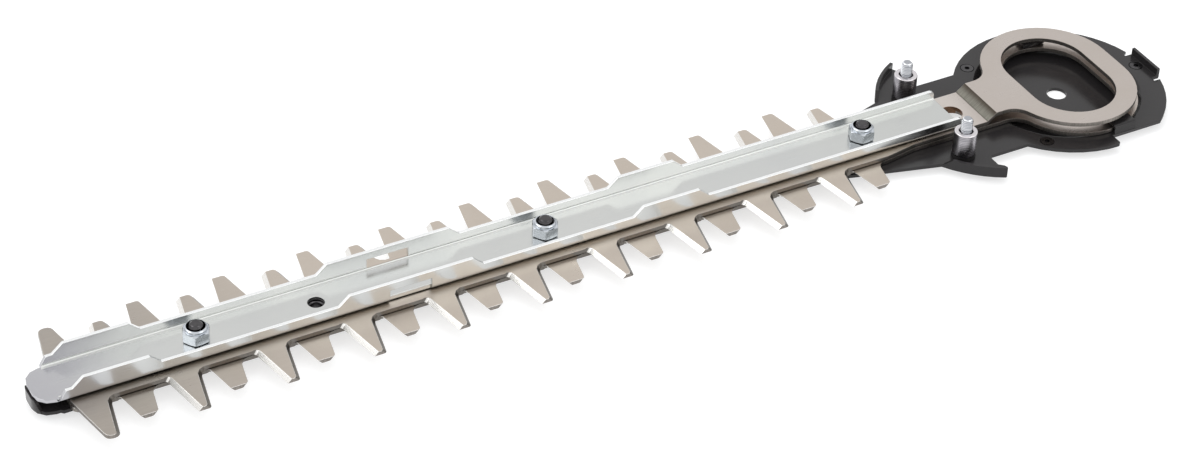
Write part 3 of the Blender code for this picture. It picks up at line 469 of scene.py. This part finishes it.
def make_blade_finishes(settings):
    """Blade steel: flats, bevels, punched edges, the ramp up to the ring and the neck's hole."""
    steel = Finish("ground_steel", settings.steel, roughness=0.24)
    patches = steel.patches(scale=38.0, fine_scale=900.0, fine_share=0.3)
    lines = steel.lines(stretch=(180.0, 2600.0, 400.0), contrast=0.45)
    steel.tint(steel.before(STEEL_NOSE), (0.30, 0.28, 0.26), 0.75)
    steel.tint(steel.after(STEEL_NECK), (0.64, 0.59, 0.56), 1.0)
    steel.tint(steel.after(STEEL_HEEL), (0.52, 0.47, 0.44), 1.0)
    steel.tint(patches, (0.47, 0.40, 0.335), 0.30)
    steel.tint(lines["Line"], (0.60, 0.56, 0.51), 0.25)
    steel.roughen(patches, 0.12).roughen(lines["Line"], 0.06)
    steel.raise_by(lines["Line"], 0.0000030).done()

    bevel = Finish("ground_bevel", settings.bevel, roughness=0.22)
    lines = bevel.lines(stretch=(2600.0, 300.0, 2600.0), contrast=0.4)
    bevel.tint(lines["Line"], (0.92, 0.91, 0.89), 0.5).raise_by(lines["Line"], 0.0000030)
    bevel.roughen(lines["Line"], 0.10).done()

    # Painted shade: bevels on flanks facing +x and in the roots between the teeth get this dark
    # tone
    dark = Finish("shaded_bevel", (0.13, 0.12, 0.11), roughness=0.30)
    lines = dark.lines(stretch=(2600.0, 300.0, 2600.0), contrast=0.4)
    dark.tint(lines["Line"], (0.30, 0.28, 0.25), 0.5).raise_by(lines["Line"], 0.0000030).done()

    punched = Finish("punched_edge", (0.30, 0.275, 0.25), roughness=0.34)
    lines = punched.lines(stretch=(2200.0, 2200.0, 250.0), contrast=0.4)
    punched.tint(lines["Line"], (0.12, 0.11, 0.10), 0.7).raise_by(lines["Line"], 0.000012)
    punched.roughen(lines["Line"], 0.15).done()

    ramp = Finish("brushed_ramp", (0.30, 0.29, 0.25), roughness=0.30)
    lines = ramp.lines(stretch=(90.0, 2600.0, 90.0), contrast=0.30)
    ramp.tint(lines["Line"], (0.11, 0.105, 0.09), 0.8).raise_by(lines["Line"], 0.000006)
    # Painted shade: a dark line along the ramp's foot and a darker crest
    ramp.tint(ramp.before(RAMP_FOOT_SHADE), (0.05, 0.045, 0.035), 0.8)
    ramp.tint(ramp.after(RAMP_CREST_SHADE), (0.055, 0.04, 0.03), 0.85).done()

    hole = Finish("hole_wall", (0.24, 0.13, 0.07), roughness=0.35, metallic=0.7)
    lines = hole.lines(stretch=(400.0, 400.0, 1500.0), contrast=0.4)
    hole.tint(lines["Line"], (0.05, 0.03, 0.02), 0.8).done()


def make_black_finishes(settings):
    """The black coat of the sheet, and the oxide black of bolts and sunk screws."""
    black = Finish("black_coat", settings.black, roughness=0.11, metallic=0, IOR=1.38)
    patches = black.patches(scale=60.0, fine_scale=1600.0, fine_share=0.45)
    lines = black.lines(stretch=(300.0, 300.0, 300.0), contrast=0.6)
    black.tint(patches, (0.026, 0.024, 0.025), 0.6).roughen(patches, 0.12)
    black.tint(lines["Scratch"], (0.05, 0.05, 0.05), 0.3).raise_by(patches, 0.0000040).done()

    oxide = Finish("black_oxide", (0.10, 0.096, 0.10), roughness=0.16)
    patches = oxide.patches(scale=500.0, fine_scale=3000.0, fine_share=0.5)
    oxide.tint(patches, (0.030, 0.030, 0.032), 0.5).roughen(patches, 0.14)
    oxide.raise_by(patches, 0.000005).done()


def make_small_finishes(settings):
    """Small pieces: the screws' threads, sleeves and their rims, bushes and nylon rings."""
    thread = Finish("threaded_zinc", (0.90, 0.92, 0.95), roughness=0.18)
    # Dark bands at the thread's pitch: painted shade of the grooves between the turns
    thread.tint(thread.rings(pitch=0.0008), (0.20, 0.21, 0.24), 1.5).done()

    rim = Finish("turned_rim", (0.74, 0.71, 0.73), roughness=0.26)
    rim.tint(rim.rings(pitch=0.0002), (0.50, 0.48, 0.50), 0.5).done()

    turned = Finish("turned_steel", settings.turned, roughness=0.24)
    rings = turned.rings(pitch=0.00085)
    patches = turned.patches(scale=300.0, fine_scale=2500.0, fine_share=0.3)
    turned.tint(rings, (0.09, 0.085, 0.10), 1.6).tint(patches, (0.30, 0.29, 0.31), 0.4)
    turned.raise_by(rings, 0.000045).roughen(patches, 0.10).done()

    bush = Finish("bush_steel", (0.45, 0.44, 0.43), roughness=0.32)
    rings = bush.rings(pitch=0.0003)
    bush.tint(rings, (0.30, 0.29, 0.28), 0.5).raise_by(rings, 0.000010).done()

    nylon = Finish("nylon", (0.012, 0.012, 0.013), roughness=0.42, metallic=0)
    patches = nylon.patches(scale=900.0, fine_scale=4000.0, fine_share=0.5)
    nylon.tint(patches, (0.03, 0.03, 0.032), 0.5).raise_by(patches, 0.000006).done()


def look(name):
    """A finish by name."""
    return bpy.data.materials[FINISH_MARK + name]


def paint(node_name, material):
    """Give a CAD node's object a finish in each of its material slots."""
    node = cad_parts[node_name]
    if not node.material_slots:
        node.data.materials.append(None)
    for place in node.material_slots:
        place.link = "OBJECT"
        place.material = look(material)


def begin(node_name):
    """A bmesh of a CAD node's solid, with its flat facets whole again."""
    work = bmesh.new()
    work.from_mesh(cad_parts[node_name].data)
    bmesh.ops.remove_doubles(work, verts=work.verts, dist=WELD)
    bmesh.ops.dissolve_limit(work, angle_limit=LEVEL, verts=work.verts, edges=work.edges)
    return work


def sharp_edges(work, angle):
    """The edges that turn by more than an angle."""
    return [edge for edge in work.edges if edge.is_manifold and edge.calc_face_angle(0) > angle]


def round_edges(work, edges, width, steps):
    """Round a set of edges."""
    bmesh.ops.bevel(work, geom=edges, offset=width, offset_type="OFFSET", segments=steps,
                    profile=0.5, affect="EDGES", clamp_overlap=False, material=-1,
                    loop_slide=True)


def place_mesh(work, name, materials):
    """Turn a bmesh into an object of the scene."""
    mesh = bpy.data.meshes.new(name)
    for material in materials:
        mesh.materials.append(material)
    work.to_mesh(mesh)
    work.free()
    made = bpy.data.objects.new(name, mesh)
    bpy.context.scene.collection.objects.link(made)
    return made


def finish_piece(work, name, body, node_names, materials, pick=None):
    """Turn a bmesh into a piece that rides on its body and stands for its CAD nodes.

    With several materials, pick says which of them a face gets.
    """
    if pick:
        work.normal_update()
        for face in work.faces:
            face.material_index = materials.index(pick(face))
    for face in work.faces:
        face.smooth = True
    piece = place_mesh(work, name, [look(material) for material in materials])
    piece.data.set_sharp_from_angle(angle=SHARP_TURN)
    weighted = piece.modifiers.new("even shading", "WEIGHTED_NORMAL")
    weighted.keep_sharp = True
    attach(piece, body)
    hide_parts(*node_names)


def draw_line(work, profile, centre, closed):
    """Draw a line of (reach, height) beside an upright axis; gives its points and edges."""
    line = [work.verts.new((centre[0] + reach, centre[1], height)) for reach, height in profile]
    ends = line[1:] + line[:1] if closed else line[1:]
    return line + [work.edges.new(pair) for pair in zip(line, ends)]


def turn_ring(work, profile, centre):
    """Spin a closed line of (reach, height) once round an upright axis."""
    line = draw_line(work, profile, centre, closed=True)
    bmesh.ops.spin(work, geom=line, cent=(centre[0], centre[1], 0), axis=(0, 0, 1),
                   angle=2 * pi, steps=SLEEVE_STEPS, use_merge=True)
    bmesh.ops.remove_doubles(work, verts=work.verts, dist=TURNED_WELD)
    bmesh.ops.recalc_face_normals(work, faces=work.faces)


def cut_off(work, height, direction, tolerance=0.0):
    """Drop what lies past a height, up (1) or down (-1), and close the cut."""
    geometry = work.verts[:] + work.edges[:] + work.faces[:]
    cut = bmesh.ops.bisect_plane(work, geom=geometry, plane_co=(0, 0, height),
                                 plane_no=(0, 0, direction), clear_outer=True, dist=tolerance)
    rim = [item for item in cut["geom_cut"] if isinstance(item, bmesh.types.BMEdge)]
    bmesh.ops.edgeloop_fill(work, edges=rim)


def thread_stud(work, centre, radius, low, high, pitch, threads):
    """A threaded stud with a rounded end, from low to high."""
    turns = int((high - low) / pitch) + SPARE_TURNS
    start = low - pitch
    root = radius - pitch * threads.depth_share
    flat = pitch * CREST_SHARE
    profile = [(root, start), (root, start + flat), (radius, start + (pitch / 2 - flat / 2)),
               (radius, start + (pitch / 2 + flat / 2)), (root, start + pitch)]
    line = draw_line(work, profile, centre, closed=False)
    bmesh.ops.spin(work, geom=line, cent=(centre[0], centre[1], 0), axis=(0, 0, 1),
                   dvec=(0, 0, pitch / threads.sides), angle=2 * pi * turns,
                   steps=threads.sides * turns, use_merge=False)
    bmesh.ops.remove_doubles(work, verts=work.verts, dist=THREAD_WELD)
    cut_off(work, low, -1, THREAD_CUT)
    cut_off(work, high, 1, THREAD_CUT)
    for vert in work.verts:
        rise = (vert.co.z - (high - threads.end_length)) / threads.end_length
        if rise > 0:
            away = Vector((vert.co.x - centre[0], vert.co.y - centre[1]))
            allowed = radius * (1 - END_NARROWING * rise ** END_CURVE)
            if away.length > allowed:
                away *= allowed / away.length
                vert.co.x = centre[0] + away.x
                vert.co.y = centre[1] + away.y
    bmesh.ops.recalc_face_normals(work, faces=work.faces)


def threaded_copy(node_name, piece_name, radius, seat, pitch, threads, material):
    """A CAD bolt or screw with a real thread above its seat."""
    low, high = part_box(node_name)
    work = bmesh.new()
    thread_stud(work, (low + high) / 2, radius, seat, high.z, pitch, threads)
    lower = begin(node_name)
    cut_off(lower, seat + pitch / 2, 1)
    spare = bpy.data.meshes.new(piece_name)
    lower.to_mesh(spare)
    lower.free()
    work.from_mesh(spare)
    bpy.data.meshes.remove(spare)
    finish_piece(work, piece_name, "bar", [node_name], [material])


class PieceOperator:
    """What the operators share."""

    bl_options = {"REGISTER", "UNDO"}


class TRIMMER_OT_finishes(PieceOperator, bpy.types.Operator):
    """Make the materials of the part"""

    bl_idname = "trimmer.finishes"
    bl_label = "Finishes"

    def execute(self, context):
        for make_group in (make_soft_patches, make_drawn_lines, make_turned_rings,
                           make_lengthwise):
            make_group()
        for make_finishes in (make_plating_finishes, make_blade_finishes, make_black_finishes,
                              make_small_finishes):
            make_finishes(context.scene.trimmer_finishes)
        return {"FINISHED"}


class TRIMMER_OT_blades(PieceOperator, bpy.types.Operator):
    """Dress the two shear blades: rounded punched edges and ground bevels"""

    bl_idname = "trimmer.blades"
    bl_label = "Blades"

    def execute(self, context):
        edges = context.scene.trimmer_edges
        ramp_x = middle_of("near_sleeve").x

        def pick(face):
            turn, twist, tilt = (abs(share) for share in face.normal)
            middle = face.calc_center_median()
            if tilt > FLAT_TILT:
                return "ground_steel"
            from_hole = hypot(middle.x - NECK_HOLE[0], middle.y - NECK_HOLE[1])
            if from_hole < NECK_HOLE_RADIUS * HOLE_WALL_SHARE:
                return "hole_wall"
            if middle.x > ramp_x:
                leans = tilt > RAMP_TILT and twist < RAMP_TWIST
                return "brushed_ramp" if leans and face.calc_area() > RAMP_AREA else "punched_edge"
            # Flanks facing +x and roots between the teeth take the painted shade
            in_root = turn < FLANK_TURN and abs(middle.y) < ROOT_REACH
            if face.normal.x > FLANK_TURN or in_root:
                return "shaded_bevel"
            return "ground_bevel" if tilt > BEVEL_TILT else "punched_edge"

        for name in ("upper_blade", "lower_blade"):
            work = begin(name)
            round_edges(work, sharp_edges(work, BLADE_TURN), edges.blade, edges.steps)
            finish_piece(work, f"{name}_ground", name, [name],
                         ["ground_steel", "ground_bevel", "punched_edge", "brushed_ramp",
                          "shaded_bevel", "hole_wall"], pick)
        return {"FINISHED"}


class TRIMMER_OT_guide(PieceOperator, bpy.types.Operator):
    """Dress the guide channel"""

    bl_idname = "trimmer.guide"
    bl_label = "Guide channel"

    def execute(self, context):
        edges = context.scene.trimmer_edges
        work = begin("guide_bar")
        round_edges(work, sharp_edges(work, SHEET_TURN), edges.sheet, edges.steps)

        def pick(face):
            middle = face.calc_center_median()
            if face.normal.z > LIP_TILT and middle.z > LIP_EDGE_FROM:
                return "zinc_cut_edge_highlight"
            leans_in = face.normal.y * middle.y < 0 and abs(face.normal.x) < BEND_TWIST
            in_bend = leans_in and BEND_TILT_FROM < face.normal.z < BEND_TILT_TO
            return "zinc_bend_painted_light" if in_bend else "zinc"

        finish_piece(work, "guide_channel", "bar", ["guide_bar"],
                     ["zinc", "zinc_cut_edge_highlight", "zinc_bend_painted_light"], pick)
        return {"FINISHED"}


class TRIMMER_OT_base(PieceOperator, bpy.types.Operator):
    """Dress the black base plate"""

    bl_idname = "trimmer.base"
    bl_label = "Base plate"

    def execute(self, context):
        edges = context.scene.trimmer_edges
        work = begin("base_plate")
        bmesh.ops.remove_doubles(work, verts=work.verts, dist=COAT_WELD)
        bmesh.ops.dissolve_limit(work, angle_limit=COAT_LEVEL, verts=work.verts,
                                 edges=work.edges)
        foot = [edge for edge in sharp_edges(work, DISH_TURN) if not edge.is_convex
                and max(vert.co.z for vert in edge.verts) < edges.dish_foot]
        round_edges(work, foot, edges.dish, edges.dish_steps)
        top = [vert for vert in work.verts if vert.co.z > edges.coat_top]
        bmesh.ops.remove_doubles(work, verts=top, dist=edges.coat_merge)
        work.normal_update()
        upper = [edge for edge in sharp_edges(work, COAT_TURN)
                 if min(vert.co.z for vert in edge.verts) > edges.coat_from]
        round_edges(work, upper, edges.coat, edges.coat_steps)
        finish_piece(work, "coated_base_plate", "bar", ["base_plate"],
                     ["black_coat"])
        return {"FINISHED"}


class TRIMMER_OT_nuts(PieceOperator, bpy.types.Operator):
    """Dress the lock nuts, their nylon rings, the slot bushes and the threaded insert"""

    bl_idname = "trimmer.nuts"
    bl_label = "Lock nuts and bushes"

    def execute(self, context):
        edges = context.scene.trimmer_edges
        for number in NUT_NUMBERS:
            work = begin(f"lock_nut_{number}")
            round_edges(work, sharp_edges(work, NUT_TURN), edges.fastener, edges.steps)
            finish_piece(work, f"plated_nut_{number}", "bar", [f"lock_nut_{number}"],
                         ["bright_zinc"])
            paint(f"nut_insert_{number}", "nylon")
            paint(f"slot_bush_{number}", "bush_steel")
        paint("guard_nut", "black_oxide")
        return {"FINISHED"}


class TRIMMER_OT_sleeves(PieceOperator, bpy.types.Operator):
    """Dress the spacer sleeves and washers"""

    bl_idname = "trimmer.sleeves"
    bl_label = "Sleeves"

    def execute(self, context):
        bore, rim = SLEEVE_BORE, SLEEVE_RIM
        for side in SIDES:
            low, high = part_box(f"{side}_sleeve")
            radius = (high.x - low.x) / 2
            work = bmesh.new()
            profile = [(bore + rim / 2, high.z), (radius - rim, high.z),
                       (radius - rim * CORNER_REACH, high.z - rim * CORNER_DROP),
                       (radius, high.z - rim), (radius, low.z + rim / 2),
                       (radius - rim / 2, low.z), (bore, low.z), (bore, high.z - rim / 2)]
            turn_ring(work, profile, (low + high) / 2)

            def pick(face, top=high.z):
                on_rim = face.calc_center_median().z > top - RIM_BAND
                return "turned_rim" if on_rim else "turned_steel"

            finish_piece(work, f"{side}_turned_sleeve", "bar", [f"{side}_sleeve"],
                         ["turned_steel", "turned_rim"], pick)
            paint(f"{side}_sleeve_washer", "black_coat")
        return {"FINISHED"}


class TRIMMER_OT_screws(PieceOperator, bpy.types.Operator):
    """Dress the sleeve screws and the bar's bolts with their threads"""

    bl_idname = "trimmer.screws"
    bl_label = "Screws and bolts"

    def execute(self, context):
        threads = context.scene.trimmer_threads
        for side in SIDES:
            low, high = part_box(f"{side}_sleeve_screw")
            threaded_copy(f"{side}_sleeve_screw", f"{side}_threaded_screw", SCREW_RADIUS,
                          low.z + threads.screw_seat, threads.screw_pitch, threads,
                          "threaded_zinc")
        for number in NUT_NUMBERS:
            low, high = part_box(f"lock_nut_{number}")
            threaded_copy(f"bar_bolt_{number}", f"threaded_bolt_{number}", BOLT_RADIUS,
                          (low.z + high.z) / 2, threads.bolt_pitch, threads, "black_oxide")
        return {"FINISHED"}


class TRIMMER_OT_small_screws(PieceOperator, bpy.types.Operator):
    """Dress the sunk screws of the base plate"""

    bl_idname = "trimmer.small_screws"
    bl_label = "Sunk screws"

    def execute(self, context):
        for number in NUT_NUMBERS:
            paint(f"base_screw_{number}", "black_oxide")
        return {"FINISHED"}


def area_light(name, place, target, size, power):
    """A soft rectangular lamp that points at a target."""
    data = bpy.data.lights.new(name, "AREA")
    data.shape = "RECTANGLE"
    data.size, data.size_y = size
    data.energy = power
    lamp = bpy.data.objects.new(name, data)
    bpy.context.scene.collection.objects.link(lamp)
    lamp.location = place
    lamp.rotation_mode = "QUATERNION"
    lamp.rotation_quaternion = (Vector(target) - Vector(place)).to_track_quat("-Z", "Y")
    return lamp


def camera_matrix(settings):
    """The camera's place and turn."""
    side, rise, roll = settings.azimuth, settings.elevation, settings.roll
    back = Vector((sin(side) * cos(rise), -cos(side) * cos(rise), sin(rise)))
    level = Vector((cos(side), sin(side), 0))
    right = level * cos(roll) + back.cross(level) * sin(roll)
    turn = Matrix((right, back.cross(right), back)).transposed().to_4x4()
    return Matrix.Translation(Vector(settings.place)) @ turn


def bare_tree(holder):
    """The node tree of a material or world, emptied."""
    holder.use_nodes = True
    holder.node_tree.nodes.clear()
    return holder.node_tree


def seen_rays(tree):
    """Socket that is 1 for rays from the camera, straight or by way of metal or glass."""
    path = add_node(tree, "ShaderNodeLightPath").outputs
    seen = math_node(tree, "MAXIMUM", path["Is Camera Ray"], path["Is Glossy Ray"])
    return math_node(tree, "MAXIMUM", seen, path["Is Transmission Ray"])


class TRIMMER_OT_stage(PieceOperator, bpy.types.Operator):
    """Set up the floor, the light and the camera"""

    bl_idname = "trimmer.stage"
    bl_label = "Stage"

    def execute(self, context):
        scene = context.scene
        scene.view_settings.view_transform = "Standard"
        self.add_camera(scene, scene.trimmer_stage)
        self.add_floor(scene.trimmer_stage)
        self.add_sky(scene)
        for name, place, target, size, power, in_metal in LAMPS:
            lamp = area_light(name, place, target, size, power)
            lamp.visible_glossy = in_metal
        self.add_card()
        return {"FINISHED"}

    def add_camera(self, scene, settings):
        """The camera, where the photograph's was."""
        data = bpy.data.cameras.new("camera")
        data.lens = settings.lens
        data.sensor_width = SENSOR_WIDTH
        data.clip_start, data.clip_end = CLIP_RANGE
        camera = bpy.data.objects.new("camera", data)
        scene.collection.objects.link(camera)
        camera.matrix_world = camera_matrix(settings)
        scene.camera = camera

    def add_card(self):
        """A dark card at the back right, seen in the metal alone."""
        away = (CARD_PLACE - CARD_TARGET).normalized()
        along = Vector((-away.y, away.x, 0)) * CARD_SIZE[0] / 2
        up = Vector((0, 0, CARD_SIZE[1]))
        corners = [CARD_PLACE - along, CARD_PLACE + along, CARD_PLACE + along + up,
                   CARD_PLACE - along + up]
        work = bmesh.new()
        work.faces.new([work.verts.new(corner) for corner in corners])
        material = bpy.data.materials.new("dark_card")
        tree = bare_tree(material)
        matt = add_node(tree, "ShaderNodeBsdfDiffuse", {"Color": CARD_COLOR})
        add_node(tree, "ShaderNodeOutputMaterial", {"Surface": matt.outputs[0]})
        card = place_mesh(work, "dark_card", [material])
        card.visible_camera = False
        card.visible_diffuse = False
        card.visible_shadow = False

    def add_floor(self, settings):
        """The floor: pale in the light that it throws back, and white where it is seen."""
        work = bmesh.new()
        bmesh.ops.create_grid(work, x_segments=1, y_segments=1, size=FLOOR_REACH)
        material = bpy.data.materials.new("floor")
        tree = bare_tree(material)
        lit = add_node(tree, "ShaderNodeBsdfDiffuse", {"Color": (*settings.floor, 1)})
        shown = add_node(tree, "ShaderNodeBsdfDiffuse", {"Color": SHOWN_FLOOR})
        glow = add_node(tree, "ShaderNodeEmission", {"Color": WHITE, "Strength": FLOOR_GLOW})
        bright = add_node(tree, "ShaderNodeAddShader", {0: shown.outputs[0], 1: glow.outputs[0]})
        mixed = add_node(tree, "ShaderNodeMixShader", {
            0: seen_rays(tree), 1: lit.outputs[0], 2: bright.outputs[0]})
        add_node(tree, "ShaderNodeOutputMaterial", {"Surface": mixed.outputs[0]})
        floor = place_mesh(work, "floor", [material])
        floor.location.z = -FLOOR_DROP

    def add_sky(self, scene):
        """Soft light from all round, stronger from above, and white where it is seen."""
        scene.world = bpy.data.worlds.new("studio")
        tree = bare_tree(scene.world)
        coordinates = add_node(tree, "ShaderNodeTexCoord")
        parts = add_node(tree, "ShaderNodeSeparateXYZ", {
            "Vector": coordinates.outputs["Generated"]})
        fade = add_node(tree, "ShaderNodeMapRange", {
            "Value": parts.outputs["Z"], "From Min": SKY_HEIGHTS[0], "From Max": SKY_HEIGHTS[1],
            "To Min": SKY_STRENGTHS[0], "To Max": SKY_STRENGTHS[1]})
        soft = add_node(tree, "ShaderNodeBackground", {
            "Color": SKY_COLOR, "Strength": fade.outputs["Result"]})
        white = add_node(tree, "ShaderNodeBackground", {"Color": WHITE, "Strength": 1.0})
        mixed = add_node(tree, "ShaderNodeMixShader", {
            0: seen_rays(tree), 1: soft.outputs[0], 2: white.outputs[0]})
        add_node(tree, "ShaderNodeOutputWorld", {"Surface": mixed.outputs[0]})


class TRIMMER_PT_panel(bpy.types.Panel):
    """The part's steps and settings in the sidebar"""

    bl_label = "Trimmer Blade"
    bl_idname = "TRIMMER_PT_panel"
    bl_space_type = "VIEW_3D"
    bl_region_type = "UI"
    bl_category = "Trimmer Blade"

    def draw(self, context):
        for operator in OPERATORS:
            self.layout.operator(operator.bl_idname)
        for key, group in SETTINGS:
            holder = getattr(context.scene, key)
            for name in group.__annotations__:
                self.layout.prop(holder, name)


OPERATORS = (TRIMMER_OT_finishes, TRIMMER_OT_blades, TRIMMER_OT_guide, TRIMMER_OT_base,
             TRIMMER_OT_nuts, TRIMMER_OT_sleeves, TRIMMER_OT_screws, TRIMMER_OT_small_screws,
             TRIMMER_OT_stage)
SETTINGS = (("trimmer_edges", EdgeSettings), ("trimmer_threads", ThreadSettings),
            ("trimmer_finishes", FinishSettings), ("trimmer_stage", StageSettings))


def register():
    """Make the settings, the operators and the panel known."""
    for key, group in SETTINGS:
        bpy.utils.register_class(group)
        setattr(bpy.types.Scene, key, PointerProperty(type=group))
    for kind in (*OPERATORS, TRIMMER_PT_panel):
        bpy.utils.register_class(kind)


def unregister():
    """Take away what register made known."""
    for kind in reversed((*OPERATORS, TRIMMER_PT_panel)):
        bpy.utils.unregister_class(kind)
    for key, group in reversed(SETTINGS):
        delattr(bpy.types.Scene, key)
        bpy.utils.unregister_class(group)


def main():
    """Build the part with the operators in order."""
    register()
    for operator in OPERATORS:
        area, name = operator.bl_idname.split(".")
        getattr(getattr(bpy.ops, area), name)()


if __name__ == "__main__":
    main()
